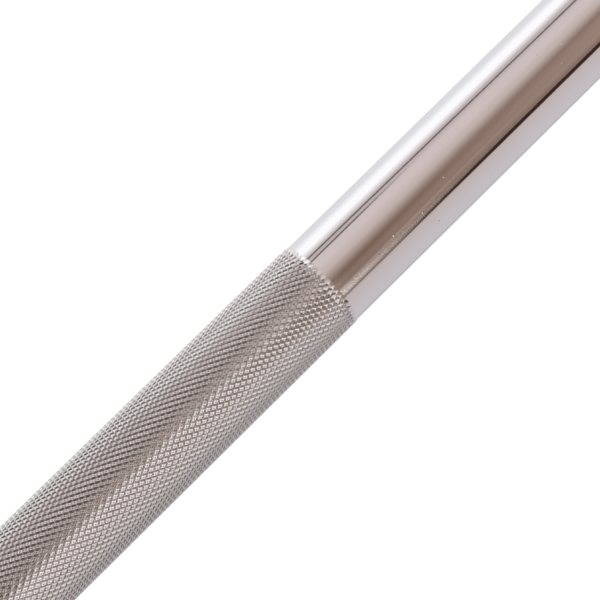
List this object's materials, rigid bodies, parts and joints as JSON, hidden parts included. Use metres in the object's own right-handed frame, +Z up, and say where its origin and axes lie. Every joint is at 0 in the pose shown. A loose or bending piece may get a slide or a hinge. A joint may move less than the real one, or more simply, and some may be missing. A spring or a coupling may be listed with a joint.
{
  "type": "fixed barbell",
  "caption": "Fixed-weight barbell: chromed knurled shaft with rubber-covered iron plates bolted on between a collar and an end cap at each end.",
  "frame": {"origin": "middle of the shaft, on its axis", "axes": "+X along the shaft's axis, +Z up when the barbell stands on its plates"},
  "size_m": [1.1712, 0.198, 0.198],
  "materials": {
    "shaft_chrome": "bright polished chrome plate, rolled diamond knurl on the grips",
    "collar_chrome": "bright chrome plate over a fine turned surface",
    "cast_iron": "machined hub faces, black primer elsewhere",
    "plate_rubber": "moulded, satin black",
    "spring_steel": "oiled spring steel",
    "screw_steel": "bright zinc plate"
  },
  "bodies": {
    "root": {"shaft": "shaft_chrome", "right_inner_collar": "collar_chrome", "right_collar_pin": "spring_steel", "right_large_plate_core": "cast_iron", "right_large_plate_cover": "plate_rubber", "right_small_plate_core": "cast_iron", "right_small_plate_cover": "plate_rubber", "right_end_cap": "collar_chrome", "right_plain_washer": "screw_steel", "right_lock_washer": "spring_steel", "right_end_screw": "screw_steel", "left_inner_collar": "collar_chrome", "left_collar_pin": "spring_steel", "left_large_plate_core": "cast_iron", "left_large_plate_cover": "plate_rubber", "left_small_plate_core": "cast_iron", "left_small_plate_cover": "plate_rubber", "left_end_cap": "collar_chrome", "left_plain_washer": "screw_steel", "left_lock_washer": "spring_steel", "left_end_screw": "screw_steel"}
  },
  "joints": []
}
